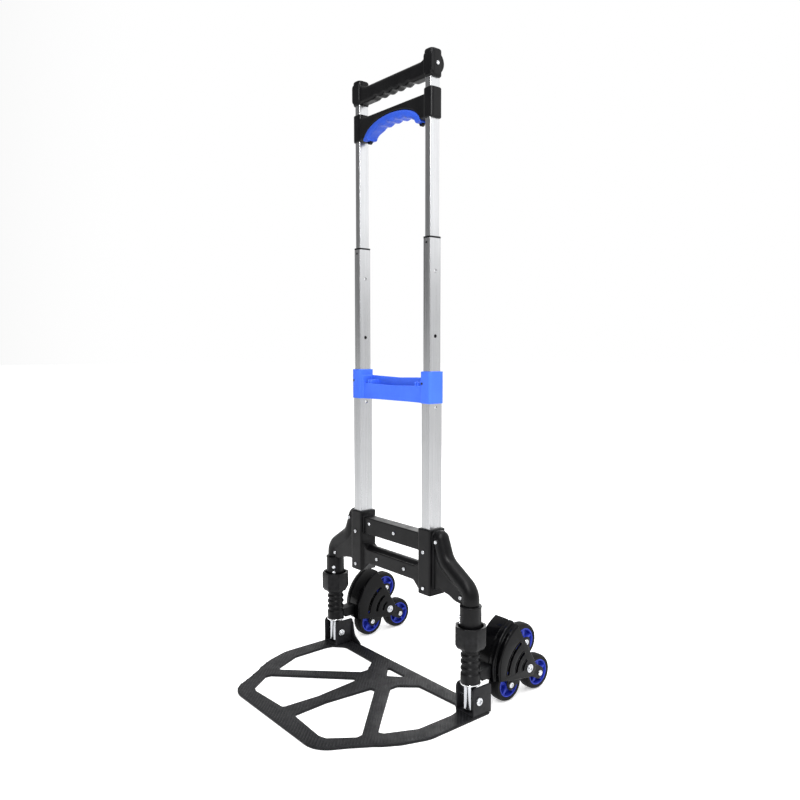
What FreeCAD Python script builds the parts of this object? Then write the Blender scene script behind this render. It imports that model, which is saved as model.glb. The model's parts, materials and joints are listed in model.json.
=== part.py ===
import FreeCAD, Part
import math
import os
from FreeCAD import Vector

# Folding stair-climbing hand truck, in millimetres.
# Inside this file y = 0 is the plane of the two legs and z = 0 is the floor.
# Every solid is moved back by LEG_Y on export, which centres the whole part on y = 0.
# +x is the right-hand leg seen from the front, -y is the front where the toe plate lies.

# ---- driving dimensions ----
LEG_X, POST_X = 187.5, 94.5           # half spacing of the legs and of the mast tubes
LEG_R, LEG_BORE, LEG_END = 11.0, 9.5, 11.0
WALL = 1.2                            # mast tube wall
LOWER, MIDDLE, UPPER = (20.0, 28.0), (16.8, 24.0), (13.2, 20.0)     # mast tube sections
LOWER_Z, MIDDLE_Z, UPPER_Z = (176.0, 541.0), (470.0, 760.0), (695.0, 1051.0)
LOWER_PIN_Z, UPPER_PIN_Z, SPARE_HOLE_Z = 485.0, 707.8, 602.0
SOCKET_W, SOCKET_D, SOCKET_Z = 30.0, 35.0, (173.5, 282.0)
UPPER_BAR_Z, LOWER_BAR_Z = (243.4, 273.7), (190.7, 215.7)
BRIDGE_Z = (491.5, 544.4)
PLATE_T, PLATE_FRONT, PLATE_REAR, PLATE_HALF = 4.0, 255.0, 28.0, 208.0
HINGE_Y, HINGE_Z = -1.0, 28.0
CHEEK_IN, CHEEK_OUT = 16.7, 20.2       # toe bracket cheeks either side of the leg
RING_Z, RING_FLATS = (110.0, 145.0), 48.4
COLLAR_R, CUP_BORE = 17.2, 20.5
AXLE_Y, AXLE_Z, STAR_R = 116.0, 50.3, 42.0        # wheel cluster centre and wheel circle
WHEEL_R, TYRE_W, RIM_R = 29.3, 22.0, 21.6
FENDER_R, FACE_R, FENDER_C = 80.0, 75.0, (116.5, 62.6)
FENDER_IN, FENDER_OUT, FENDER_BACK = 20.0, 23.5, 26.5      # inner half width, front face, rear face
RELEASE_Z, TOP_Z = (950.0, 998.0), (1013.5, 1057.5)
LEG_Y = (PLATE_FRONT - (AXLE_Y + STAR_R * math.cos(math.radians(30)) + WHEEL_R)) / 2

X, Y, Z = Vector(1, 0, 0), Vector(0, 1, 0), Vector(0, 0, 1)
os.makedirs("parts", exist_ok=True)


def save(name, *shapes):
    whole = shapes[0] if len(shapes) == 1 else Part.makeCompound(list(shapes))
    moved = whole.copy()
    moved.translate(Vector(0, LEG_Y, 0))
    moved.exportStep("parts/" + name + ".step")


def mirrored(shape):
    return shape.mirror(Vector(0, 0, 0), X)


def fuse(first, *rest):
    return first.multiFuse(list(rest)).removeSplitter() if rest else first


def cut(shape, *tools):
    return shape.cut(Part.makeCompound(list(tools)))


def outline(points, radii=0, closed=True):
    """Wire through the points, each corner rounded by its own radius."""
    n = len(points)
    radii = radii if isinstance(radii, (list, tuple)) else [radii] * n
    edges, first, last = [], None, None
    for i, p in enumerate(points):
        start = end = p
        arc = None
        if radii[i] > 0 and (closed or 0 < i < n - 1):
            u, v = (points[i - 1] - p).normalize(), (points[(i + 1) % n] - p).normalize()
            half = u.getAngle(v) / 2
            reach = radii[i] / math.tan(half)
            start, end = p + u * reach, p + v * reach
            middle = p + (u + v).normalize() * (radii[i] / math.sin(half) - radii[i])
            arc = Part.Arc(start, middle, end).toShape()
        if last is not None and last.distanceToPoint(start) > 1e-6:
            edges.append(Part.makeLine(last, start))
        if arc:
            edges.append(arc)
        first, last = first or start, end
    if closed and last.distanceToPoint(first) > 1e-6:
        edges.append(Part.makeLine(last, first))
    return Part.Wire(edges)


def place(plane, a, b, level):
    return {"xy": Vector(a, b, level), "xz": Vector(a, level, b), "yz": Vector(level, a, b)}[plane]


def prism(points, plane, low, high, radii=0):
    """Extruded outline drawn in a plane, from one level to another along its normal."""
    along = {"xy": Z, "xz": Y, "yz": X}[plane]
    face = Part.Face(outline([place(plane, a, b, low) for a, b in points], radii))
    return face.extrude(along * (high - low))


def block(x0, x1, y0, y1, z0, z1, r=0):
    return prism([(x0, y0), (x1, y0), (x1, y1), (x0, y1)], "xy", z0, z1, r)


def post(size, z0, z1, r=0, grow=0.0, x=POST_X):
    w, d = size[0] / 2 + grow, size[1] / 2 + grow
    return block(x - w, x + w, -d, d, z0, z1, r)


def rod(axis, r, a, b, *at):
    """Cylinder along an axis from a to b, at the two other coordinates."""
    start = {"x": (a, *at), "y": (at[0], a, at[-1]), "z": (*at, a)}[axis]
    return Part.makeCylinder(r, b - a, Vector(*start), {"x": X, "y": Y, "z": Z}[axis])


def pipe(r_out, r_in, z0, z1, x=LEG_X):
    return rod("z", r_out, z0, z1, x, 0).cut(rod("z", r_in, z0 - 1, z1 + 1, x, 0))


def turned(profile, x=LEG_X):
    """Solid of revolution about a vertical line, from (radius, z) points."""
    face = Part.Face(outline([Vector(x + r, 0, z) for r, z in profile]))
    return face.revolve(Vector(x, 0, 0), Z, 360)


def both(shape):
    return [shape, mirrored(shape)]


def screw(axis, r_head, r_shank, face, depth, sign, *at):
    """Pan head standing proud of a face, with its shank going in behind it."""
    head = rod(axis, r_head, *sorted((face, face - sign * 1.6)), *at)
    head = head.makeFillet(0.7, [e for e in head.Edges if abs(
        getattr(e.CenterOfMass, axis) - (face - sign * 1.6)) < 0.01])
    return head.fuse(rod(axis, r_shank, *sorted((face, face + sign * depth)), *at))


# ---- legs ----
CROWN = (117.5, 270.0)
CROWN_SCREW = (120.5, 266.5)


def leg_path(z0):
    knee, hip, tip = (LEG_X, 198.5), (131.5, 234.0), CROWN
    points = [Vector(x, 0, z) for x, z in ((LEG_X, z0), knee, hip, tip)]
    return outline(points, [0, 26.0, 40.0, 0], closed=False)


def swept(r, z0):
    start = Part.Wire([Part.makeCircle(r, Vector(LEG_X, 0, z0), Z)])
    return leg_path(z0).makePipeShell([start], True, False)


collar_dir = Vector(-1, -1, 0).normalize()
radial = [Part.makeCylinder(1.55, 12, Vector(LEG_X, 0, z) + collar_dir * 8, collar_dir)
          for z in (158.0, 147.5)]
leg = cut(swept(LEG_R, LEG_END), swept(LEG_BORE, LEG_END), *radial,
          rod("x", 3.05, LEG_X - 20, LEG_X + 20, HINGE_Y, HINGE_Z), rod("y", 1.6, -20, -3, *CROWN_SCREW))
save("leg_tube_right", leg)
save("leg_tube_left", mirrored(leg))

plug = rod("z", LEG_BORE - 0.05, LEG_END, 46, LEG_X, 0).cut(
    rod("x", 3.05, LEG_X - 20, LEG_X + 20, HINGE_Y, HINGE_Z))
save("leg_plugs", *both(plug))
save("leg_washers", *both(pipe(16.5, LEG_R, 50.6, 53.0)))

collar = cut(turned([(LEG_R, 134), (COLLAR_R, 134), (COLLAR_R, 176.2), (COLLAR_R - 0.8, 177),
                     (LEG_R, 177)]), *radial)
save("leg_collars", *both(collar))


def radial_screw(z, r):
    head = Part.makeCylinder(2.9, 1.4, Vector(LEG_X, 0, z) + collar_dir * r, collar_dir)
    return head.fuse(Part.makeCylinder(1.5, r - 8.6, Vector(LEG_X, 0, z) + collar_dir * 8.6, collar_dir))


collar_screws = [s.cut(collar) for s in (radial_screw(158.0, COLLAR_R), radial_screw(147.5, COLLAR_R))]
save("collar_screws", *both(collar_screws[0]), *both(collar_screws[1]))

# ---- lower mast tubes ----
LOWER_IN = (LOWER[0] - 2 * WALL, LOWER[1] - 2 * WALL)
MIDDLE_IN = (MIDDLE[0] - 2 * WALL, MIDDLE[1] - 2 * WALL)
UPPER_IN = (UPPER[0] - 2 * WALL, UPPER[1] - 2 * WALL)
FRONT_RIVETS = (-1.5, 245.0), (-1.5, 184.0)            # offset from the post, height
BRIDGE_SCREW = (-7.0, 524.0)


def mast_tube(size, inner, span, r, pin_holes=()):
    tube = post(size, *span, r).cut(post(inner, span[0] - 1, span[1] + 1, r - WALL + 0.2))
    return cut(tube, *[rod("x", hole_r, POST_X + inner[0] / 2 - 1, POST_X + 20, 0, z)
                       for z, hole_r in pin_holes]) if pin_holes else tube


lower_tube = mast_tube(LOWER, LOWER_IN, LOWER_Z, 1.6)
# rivets and screws sit on the same side of each post, so the two tubes are not mirror images
FASTENERS = {}
for side in (1, -1):
    x = side * POST_X
    front = [screw("y", 3.2, 1.5, -SOCKET_D / 2 - 0.2, 5.2, 1, x + dx, z) for dx, z in FRONT_RIVETS]
    bridge = [screw("y", 2.0, 1.4, -15.9, 3.2, 1, x + BRIDGE_SCREW[0], BRIDGE_SCREW[1])]
    FASTENERS[side] = (front, bridge)


def clearance(side):
    return [rod("y", 1.6, -20, -11, side * POST_X + dx, z) for dx, z in FRONT_RIVETS + (BRIDGE_SCREW,)]


window = rod("x", 3.0, POST_X + 6, POST_X + 16, 0, LOWER_PIN_Z)
window_left = rod("x", 3.0, -POST_X + 6, -POST_X + 16, 0, LOWER_PIN_Z)
save("lower_mast_tube_right", cut(lower_tube, window, *clearance(1)))
save("lower_mast_tube_left", cut(mirrored(lower_tube), window_left, *clearance(-1)))

# ---- base shells ----
BULGE = 14.0
socket = block(POST_X - SOCKET_W / 2, POST_X + SOCKET_W / 2, -SOCKET_D / 2, SOCKET_D / 2, *SOCKET_Z, 3)
gusset = prism([(108, 184), (122, 188.5), (146, 185), (161, 178.5), (174, 177.2), (184, 190),
                (172, 208), (132, 233), (117, 268), (108, 268)], "xz", -10, 10)
bulge = swept(BULGE, 177.2)
crown = Part.makeSphere(BULGE, Vector(CROWN[0], 0, CROWN[1]))
boss = rod("y", 4.6, -14.2, -6, *CROWN_SCREW)
shoulder = fuse(gusset, bulge, crown, boss)
upper_bar = block(-80, 80, -11, 11, *UPPER_BAR_Z)
lower_bar = prism([(80, 175), (62, LOWER_BAR_Z[0]), (-62, LOWER_BAR_Z[0]), (-80, 175), (-80, 222),
                   (-68, LOWER_BAR_Z[1]), (68, LOWER_BAR_Z[1]), (80, 222)], "xz", -13, 13)
grip_bar = rod("x", 12.5, -78, 78, 1.5, 212.0).common(block(-78, 78, -13, 13, 205, 218))
solid_base = fuse(socket, mirrored(socket), shoulder, mirrored(shoulder), upper_bar, lower_bar, grip_bar)

# shell screws: x, height, and the depth of the face their heads stand on
Y_SCREWS = [(8, 259.5, -11.2), (-62, 263.5, -11.2), (-38, 203.5, -13.2), (38, 203.5, -13.2),
            (174, 187.0, -10.2), (-174, 187.0, -10.2)]
CROWN_SCREWS = [(side * CROWN_SCREW[0], CROWN_SCREW[1], -14.4) for side in (1, -1)]
pockets = [block(x0, x1, -7.5, 7.5, 247, 270) for x0, x1 in ((-56, 2), (14, 74))]
pockets += [block(x0, x1, -7.5, 7.5, 194, 207) for x0, x1 in ((-32, 32), (44, 60), (-60, -44))]
hollow = [post(LOWER, 175.9, 300, 1.6), mirrored(post(LOWER, 175.9, 300, 1.6)),
          swept(LEG_R, 170), mirrored(swept(LEG_R, 170))]
bores = [rod("y", 1.6, -20, 8, x, z) for x, z, _ in Y_SCREWS + CROWN_SCREWS]
bores += [rod("y", 3.4, -24, face + 0.15, x, z) for x, z, face in Y_SCREWS + CROWN_SCREWS]
solid_base = cut(solid_base, *hollow, *pockets, *bores, *clearance(1), *clearance(-1))
save("base_shell_front", solid_base.common(block(-250, 250, -60, 0, 150, 300)))
save("base_shell_rear", solid_base.common(block(-250, 250, 0, 60, 150, 300)))
save("base_shell_screws", *[screw("y", 3.2, 1.5, face, 18, 1, x, z) for x, z, face in Y_SCREWS],
     *[screw("y", 3.2, 1.5, face, 7, 1, x, z) for x, z, face in CROWN_SCREWS])
save("base_socket_rivets", *FASTENERS[1][0], *FASTENERS[-1][0])

# ---- blue bridge clamping the lower tubes together ----
clamp = block(POST_X - 12, POST_X + 12, -15.7, 15.7, *BRIDGE_Z, 3.5)
rib = block(62, 64.5, -6.4, 9.6, BRIDGE_Z[0], 512)
pillar = rod("z", 5, BRIDGE_Z[0], 510, 74, 1.5)
channel = fuse(block(-84, 84, -9, -6.2, 493, 519), block(-84, 84, 9.4, 12.2, 493, 532.5),
               block(-84, 84, -9, 12.2, BRIDGE_Z[0], 494.2), rib, mirrored(rib), pillar, mirrored(pillar))
bridge = fuse(clamp, mirrored(clamp), channel)
openings = [post(LOWER, 400, 541.0, 1.6), post(MIDDLE, 540, 560, 1.5, 0.3)]
bridge = cut(bridge, *openings, *[mirrored(o) for o in openings],
             *[h for side in (1, -1) for h in clearance(side)])
save("tube_bridge", bridge)
save("bridge_screws", *FASTENERS[1][1], *FASTENERS[-1][1])


# ---- telescoping stages ----
def stage(size, inner, span, r, pin_z, spare=()):
    """Both tubes of a telescoping stage, drilled for the lock pin on their right-hand faces."""
    tube = mast_tube(size, inner, span, r)
    side_holes = [(pin_z, 2.6)] + [(z, 3.0) for z in spare]
    shapes = []
    for side in (1, -1):
        copy = tube if side > 0 else mirrored(tube)
        holes = [rod("x", hole_r, side * POST_X + inner[0] / 2 - 1, side * POST_X + size[0] / 2 + 1, 0, z)
                 for z, hole_r in side_holes]
        shapes.append(cut(copy, *holes))
    return shapes


def guide(size, inner, foot_z, pin_z, flange):
    """Plastic foot: a flange that slides in the outer tube and a plug pressed into the inner one."""
    shapes = []
    for side in (1, -1):
        x = side * POST_X
        whole = fuse(post(size, foot_z - 5, foot_z, 2, flange, x), post(inner, foot_z, pin_z + 6, 0.5, 0, x))
        shapes.append(whole.cut(rod("x", 2.55, x - 5.0, x + 20, 0, pin_z)))
    return shapes


def lock_pins(tip, pin_z):
    return [fuse(rod("x", 2.5, side * POST_X + tip - 7, side * POST_X + tip - 0.6, 0, pin_z),
                 rod("x", 2.0, side * POST_X + tip - 0.6, side * POST_X + tip, 0, pin_z))
            for side in (1, -1)]


middle = stage(MIDDLE, MIDDLE_IN, MIDDLE_Z, 1.5, LOWER_PIN_Z, (UPPER_PIN_Z, SPARE_HOLE_Z))
rivet_bore = rod("y", 1.2, -20, -10, POST_X, 753)
middle = [m.cut(b) for m, b in zip(middle, both(rivet_bore))]
save("middle_mast_tube_right", middle[0])
save("middle_mast_tube_left", middle[1])
cap = post(MIDDLE, 760, 763, 1.7, 0.2).cut(post(UPPER, 750, 770, 1.5, 0.3))
lip = post(MIDDLE_IN, 750, 760, 0.5).cut(post(UPPER, 740, 770, 1.5, 0.3)).cut(rivet_bore)
save("middle_tube_caps", *both(fuse(cap, lip)))
cap_rivet = rod("y", 1.15, -12.3, -10.8, POST_X, 753).fuse(rod("y", 1.9, -12.6, -12.0, POST_X, 753))
save("middle_cap_rivets", *both(cap_rivet))
save("middle_guides", *guide(MIDDLE, MIDDLE_IN, MIDDLE_Z[0], LOWER_PIN_Z, 0.25))
save("lower_lock_pins", *lock_pins(MIDDLE[0] / 2 + 0.2, LOWER_PIN_Z))

LIFT_SLOT = (967.0, 985.0)
upper = stage(UPPER, UPPER_IN, UPPER_Z, 1.5, UPPER_PIN_Z)
slot = block(POST_X - 1.65, POST_X + 1.65, -12, 12, *LIFT_SLOT)

# ---- top handle ----
BAR_TOP, BAR_LOW = 1043.0, 1015.5
handle_bore = rod("x", 1.6, POST_X - 20, POST_X + 20, 0, 1034)
upper = [cut(u, *s) for u, s in zip(upper, ([slot, handle_bore], [mirrored(slot), mirrored(handle_bore)]))]
save("upper_mast_tube_right", upper[0])
save("upper_mast_tube_left", upper[1])
save("upper_guides", *guide(UPPER, UPPER_IN, UPPER_Z[0], UPPER_PIN_Z, 0.35))
save("upper_lock_pins", *lock_pins(UPPER[0] / 2 + 0.2, UPPER_PIN_Z))

cap_outer = block(85.0, 107.0, -13, 12.5, *TOP_Z, 8)
cap_outer = cap_outer.makeFillet(4, [e for e in cap_outer.Edges if e.CenterOfMass.z > TOP_Z[1] - 0.01])
hump = rod("x", 19, 86, 106.5, -2.5, 1035).common(block(80, 115, 0, 25, 1016, 1056))
hump = hump.makeFillet(3, [e for e in hump.Edges if e.CenterOfMass.x > 106.4])
handle_bar = prism([(-90, BAR_TOP), (90, BAR_TOP), (90, BAR_LOW), (-90, BAR_LOW)], "xz", -11, 11)
handle_bar = handle_bar.makeFillet(5, [e for e in handle_bar.Edges if abs(abs(e.CenterOfMass.y) - 11) < 0.1
                                       and abs(e.CenterOfMass.x) < 40 and e.Length > 100])
scallops = [rod("y", 16, -20, 20, x, BAR_LOW - 13.4) for x in (-44, -22, 0, 22, 44)]
handle = fuse(cap_outer, mirrored(cap_outer), hump, mirrored(hump), handle_bar)
tube_room = post(UPPER, 1000, UPPER_Z[1], 1.5)
handle = cut(handle, tube_room, mirrored(tube_room), *scallops,
             handle_bore, mirrored(handle_bore))
save("top_handle", handle)
handle_rivet = fuse(rod("x", 1.5, 86, 108.6, 0, 1034), rod("x", 3.4, 107.0, 108.8, 0, 1034))
save("handle_rivets", *both(handle_rivet))
plug_stop = post(UPPER_IN, 1009, 1028, 0.5)
save("handle_plugs", *both(plug_stop))

# ---- release handle: a sliding squeeze bar that pulls the upper lock pins ----
ARCH_TOP, ARCH_LOW, ARCH_FOOT = 980.0, 965.0, 948.0


def arch(half, crown_z):
    """Everything under half an ellipse that stands on the foot of the grip."""
    wide = Part.Ellipse(Vector(0, -20, ARCH_FOOT), half, crown_z - ARCH_FOOT)
    wide.Axis = Vector(0, -1, 0)
    disc = Part.Face(Part.Wire([wide.toShape()])).extrude(Y * 40)
    return fuse(disc.common(block(-half, half, -20, 20, ARCH_FOOT, crown_z + 1)),
                block(-half, half, -20, 20, 900, ARCH_FOOT))


ends = block(84.5, 106, -12.3, 12.3, *RELEASE_Z, 6.5)
yoke = block(-86, 86, -11.3, 11.3, RELEASE_Z[0], 989.5)
under_grip = arch(76, ARCH_TOP)
finger_room = arch(64, ARCH_LOW)
release = fuse(ends, mirrored(ends), yoke.cut(under_grip))
slide_room = post(UPPER, 900, 1010, 1.5, 0.3)
cross_bore = rod("y", 1.5, -11.2, 11.2, POST_X, 970)
release = cut(release, slide_room, mirrored(slide_room), cross_bore, mirrored(cross_bore),
              under_grip.common(block(-80, 80, -20, 20, 900, 990)))
lug = rod("y", 4.5, -3, 3, 70, 947.5).cut(rod("y", 2.2, -4, 4, 70, 947.5))
save("release_handle_body", release)
grip = block(-76, 76, -13, 13, ARCH_FOOT, ARCH_TOP + 1).common(under_grip).cut(finger_room)
grip = cut(grip, *[rod("y", 15, -20, 20, x, z)
                  for x, z in ((-33, 949.5), (-11, 952.5), (11, 952.5), (33, 949.5))])
lug_room = rod("y", 4.5, -3, 3, 70, 947.5)
save("release_grip", cut(grip, lug_room, mirrored(lug_room)))
save("release_lugs", *both(lug.cut(release)))
lift = rod("y", 1.5, -11.2, 11.2, POST_X, 970)
save("release_rods", *both(fuse(rod("z", 1.5, 716, 974, POST_X, 0), lift)))
coil = Part.makeHelix(4.2, 31.0, 3.4)
wire = Part.Wire([Part.makeCircle(0.5, Vector(3.4, 0, 0), Vector(0, 1, 0.2))])
spring = Part.Wire(coil.Edges).makePipeShell([wire], True, True)
spring.translate(Vector(POST_X, 0, 976.4))
save("release_springs", *both(spring))

# ---- wheel arms ----
flats = [(LEG_X + RING_FLATS / 2 / math.cos(math.pi / 8) * math.cos(math.pi / 8 + k * math.pi / 4),
          RING_FLATS / 2 / math.cos(math.pi / 8) * math.sin(math.pi / 8 + k * math.pi / 4)) for k in range(8)]
cup = prism(flats, "xy", *RING_Z, 2.5).common(turned(
    [(0, RING_Z[0]), (21, RING_Z[0]), (27, RING_Z[0] + 6), (27, RING_Z[1] - 1.5), (25.5, RING_Z[1]),
     (0, RING_Z[1])]))
profile = [(LEG_R + 0.1, 53.3), (16.0, 53.3), (16.0, 68)]
for k in range(4):
    profile += [(13.8, 69.5 + 10 * k), (13.8, 72.5 + 10 * k), (15.8, 74.5 + 10 * k), (15.8, 77.5 + 10 * k)]
profile += [(15.0, 112), (LEG_R + 0.1, 112)]
sleeve = turned(profile)
arm_bar = prism([(8, 54.5), (48, 54.5), (48, 72), (30, 71), (8, 68)], "yz", LEG_X - 10, LEG_X + 10)
fender_disc = rod("x", FENDER_R + 0.01, LEG_X - 30, LEG_X + 30, *FENDER_C)
arm = fuse(cup, sleeve, arm_bar)
arm = cut(arm, rod("z", LEG_R + 0.1, 40, 150, LEG_X, 0), rod("z", CUP_BORE, 133.5, 150, LEG_X, 0),
          fender_disc)


# ---- fender, drawn in the y-z plane ----
def polar(centre, r, angle):
    a = math.radians(angle)
    return centre[0] + r * math.cos(a), centre[1] + r * math.sin(a)


def tangent(point, centre, r, side):
    dy, dz = centre[0] - point[0], centre[1] - point[1]
    far = math.hypot(dy, dz)
    bearing = math.degrees(math.atan2(-dz, -dy)) + side * math.degrees(math.acos(r / far))
    return polar(centre, r, bearing)


def sector(r, angles, apex_r, x0, x1):
    """Pie slice whose point is rounded about the axle."""
    axle = (AXLE_Y, AXLE_Z)
    top, low = polar(FENDER_C, r, angles[0]), polar(FENDER_C, r, angles[1])
    mid = polar(FENDER_C, r, sum(angles) / 2)
    t1, t2 = tangent(top, axle, apex_r, -1), tangent(low, axle, apex_r, 1)
    at = [Vector(x0, *p) for p in (top, mid, low, t2, polar(axle, apex_r, -24), t1)]
    edges = [Part.Arc(at[0], at[1], at[2]).toShape(), Part.makeLine(at[2], at[3]),
             Part.Arc(at[3], at[4], at[5]).toShape(), Part.makeLine(at[5], at[0])]
    return Part.Face(Part.Wire(edges)).extrude(X * (x1 - x0))


def vent(r, width, a0, a1):
    ring = rod("x", r + width / 2, LEG_X - 30, LEG_X + 30, AXLE_Y, AXLE_Z).cut(
        rod("x", r - width / 2, LEG_X - 30, LEG_X + 30, AXLE_Y, AXLE_Z))
    wedge = [(AXLE_Y, AXLE_Z)] + [polar((AXLE_Y, AXLE_Z), 90, a) for a in (a0, (a0 + a1) / 2, a1)]
    return ring.common(prism(wedge, "yz", LEG_X - 30, LEG_X + 30))


ANGLES = (114.0, 192.4)
front_face = sector(FACE_R, ANGLES, 16, LEG_X + 8, LEG_X + FENDER_OUT)
front_face = front_face.makeFillet(2.5, [
    e for e in front_face.Edges if e.Length > 80 and e.CenterOfMass.y < 75
    and abs(e.CenterOfMass.x - LEG_X - FENDER_OUT) < 0.01])
barrel = sector(FENDER_R, ANGLES, 16, LEG_X - FENDER_BACK, LEG_X + 15.0)
barrel = barrel.makeFillet(3.0, [e for e in barrel.Edges if e.Length > 80 and e.CenterOfMass.y < 75
                                 and abs(abs(e.CenterOfMass.x - LEG_X) - 15) < 12.51
                                 and e.Curve.TypeId == "Part::GeomCircle"])
step = rod("x", FENDER_R + 5, LEG_X + 3.5, LEG_X + 5.5, *FENDER_C).cut(
    rod("x", FENDER_R - 1.5, LEG_X, LEG_X + 10, *FENDER_C))
wheel_room = [rod("x", FENDER_R - 3.5, LEG_X - FENDER_BACK + 3.5, LEG_X + 12.5, *FENDER_C),
              rod("x", FACE_R - 3, LEG_X + 12, LEG_X + FENDER_IN, *FENDER_C)]
fender = cut(fuse(barrel, front_face), step, *wheel_room,
             rod("x", 4.05, LEG_X - 40, LEG_X + 40, AXLE_Y, AXLE_Z),
             vent(17, 4, 116, 176), vent(33, 5, 116, 176), vent(53, 5.5, 116, 176))

axle = fuse(rod("x", 4.0, LEG_X - FENDER_BACK - 3.5, LEG_X + FENDER_OUT + 3.5, AXLE_Y, AXLE_Z),
            rod("x", 7.0, LEG_X - FENDER_BACK - 3.5, LEG_X - FENDER_BACK, AXLE_Y, AXLE_Z),
            rod("x", 7.0, LEG_X + FENDER_OUT, LEG_X + FENDER_OUT + 3.5, AXLE_Y, AXLE_Z))

# ---- wheel clusters ----
HUB_ANGLES = (90, -30, 210)
hubs = [polar((AXLE_Y, AXLE_Z), STAR_R, a) for a in HUB_ANGLES]


def star(x0, x1):
    arms = []
    for angle, (y, z) in zip(map(math.radians, HUB_ANGLES), hubs):
        ny, nz = -math.sin(angle) * 8.5, math.cos(angle) * 8.5
        arms.append(prism([(AXLE_Y + ny, AXLE_Z + nz), (y + ny, z + nz), (y - ny, z - nz),
                           (AXLE_Y - ny, AXLE_Z - nz)], "yz", x0, x1))
        arms.append(rod("x", 8.5, x0, x1, y, z))
    return fuse(rod("x", 15, x0, x1, AXLE_Y, AXLE_Z), *arms)


spider = fuse(star(LEG_X + 12.0, LEG_X + 14.5), star(LEG_X - 14.5, LEG_X - 12.0),
              rod("x", 7, LEG_X - 19.0, LEG_X + 19.0, AXLE_Y, AXLE_Z))
spider = cut(spider, rod("x", 4.06, LEG_X - 22, LEG_X + 22, AXLE_Y, AXLE_Z),
             *[rod("x", 3.02, LEG_X - 20, LEG_X + 20, y, z) for y, z in hubs])
bolts = [fuse(rod("x", 3.0, LEG_X - 17.5, LEG_X + 17.5, y, z),
              rod("x", 5.0, LEG_X - 17.5, LEG_X - 14.5, y, z),
              rod("x", 5.0, LEG_X + 14.5, LEG_X + 17.5, y, z)) for y, z in hubs]


def tyre_at(y, z):
    ring = rod("x", WHEEL_R, LEG_X - TYRE_W / 2, LEG_X + TYRE_W / 2, y, z)
    ring = ring.makeFillet(3.5, [e for e in ring.Edges if e.Curve.TypeId == "Part::GeomCircle"])
    return ring.cut(rod("x", RIM_R, LEG_X - 20, LEG_X + 20, y, z))


def rim_at(y, z):
    half = TYRE_W / 2 - 0.6
    disc = rod("x", RIM_R, LEG_X - half, LEG_X + half, y, z)
    dish = rod("x", RIM_R - 2.4, LEG_X + 2, LEG_X + 12, y, z).cut(rod("x", 7.5, LEG_X, LEG_X + 14, y, z))
    spokes = [block(LEG_X - 12, LEG_X + 12, -1.6, 1.6, 5, RIM_R).common(
        block(LEG_X + 2, LEG_X + half - 1.5, -3, 3, 5, RIM_R)) for _ in range(5)]
    for k, spoke in enumerate(spokes):
        spoke.rotate(Vector(LEG_X, 0, 0), X, 72 * k)
        spoke.translate(Vector(0, y, z))
    dish = cut(dish, *spokes)
    other = dish.mirror(Vector(LEG_X, 0, 0), X)
    return cut(disc, dish, other, rod("x", 3.08, LEG_X - 20, LEG_X + 20, y, z))


for side, name in ((1, "right"), (-1, "left")):
    def fit(shape):
        return shape if side > 0 else mirrored(shape)
    save("wheel_arm_" + name, fit(arm))
    save("fender_" + name, fit(fender))
    save("cluster_axle_" + name, fit(axle))
    save("spider_" + name, fit(spider))
    save("wheel_bolts_" + name, *[fit(b) for b in bolts])
    for k, (y, z) in enumerate(hubs):
        save("wheel_tyre_%s_%d" % (name, k + 1), fit(tyre_at(y, z)))
        save("wheel_rim_%s_%d" % (name, k + 1), fit(rim_at(y, z)))

# ---- folding toe plate ----
half_edge = [(PLATE_HALF, PLATE_REAR), (PLATE_HALF, -103), (192, -147), (177, -172), (170, -180),
             (149, -212), (125, -PLATE_FRONT)]
edge_r = [8, 60, 60, 3, 3, 80, 45]
plate = prism(half_edge + [(-x, y) for x, y in reversed(half_edge)], "xy", 0, PLATE_T,
              edge_r + edge_r[::-1])
rear_hole = [(42, -46), (42, -31), (66, -3), (154, 0), (174, -17), (177, -31), (176, -99),
             (153, -148), (144, -153)]
front_hole = [(17, -222), (13, -157), (21, -72), (30, -71), (135, -176), (136, -186), (109, -223), (96, -227)]
rear_hole = prism(rear_hole, "xy", -1, 6, [4, 6, 8, 14, 8, 20, 20, 5, 4])
front_hole = prism(front_hole, "xy", -1, 6, [5, 20, 3, 3, 4, 4, 8, 6])
hub_hole = prism([(27, 3), (-27, 3), (0, -21)], "xy", -1, 6, 3)
plate = cut(plate, rear_hole, mirrored(rear_hole), front_hole, mirrored(front_hole), hub_hole)
save("toe_plate", plate)

cheek = [(-13, 4), (27, 4), (27, 50), (-13, 50)]
cheek_x = [(LEG_X + CHEEK_IN, LEG_X + CHEEK_OUT), (LEG_X - CHEEK_OUT, LEG_X - CHEEK_IN)]
cheeks = [prism(cheek, "yz", a, b, [0, 0, 4, 7]) for a, b in cheek_x]
floor = block(LEG_X - CHEEK_OUT, LEG_X + CHEEK_OUT, -13, 27, 4, 6)
web_x = LEG_X - CHEEK_OUT
web = prism([(web_x, 4), (web_x, 44), (web_x - 2, 44), (web_x - 7, 18), (web_x - 26, 7), (web_x - 26, 4)],
            "xz", 24, 27, [0, 0, 0, 14, 0, 0])
bracket = fuse(cheeks[0], cheeks[1], floor, web).cut(
    rod("x", 3.02, LEG_X - 40, LEG_X + 40, HINGE_Y, HINGE_Z))
save("toe_bracket_right", bracket)
save("toe_bracket_left", mirrored(bracket))
hinge_bolt = fuse(rod("x", 3.0, LEG_X - CHEEK_OUT - 3.2, LEG_X + CHEEK_OUT + 3.2, HINGE_Y, HINGE_Z),
                  rod("x", 6.5, LEG_X - CHEEK_OUT - 3.2, LEG_X - CHEEK_OUT, HINGE_Y, HINGE_Z),
                  rod("x", 6.5, LEG_X + CHEEK_OUT, LEG_X + CHEEK_OUT + 3.2, HINGE_Y, HINGE_Z))
save("hinge_bolts", *both(hinge_bolt))
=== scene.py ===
import json
import math

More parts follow.
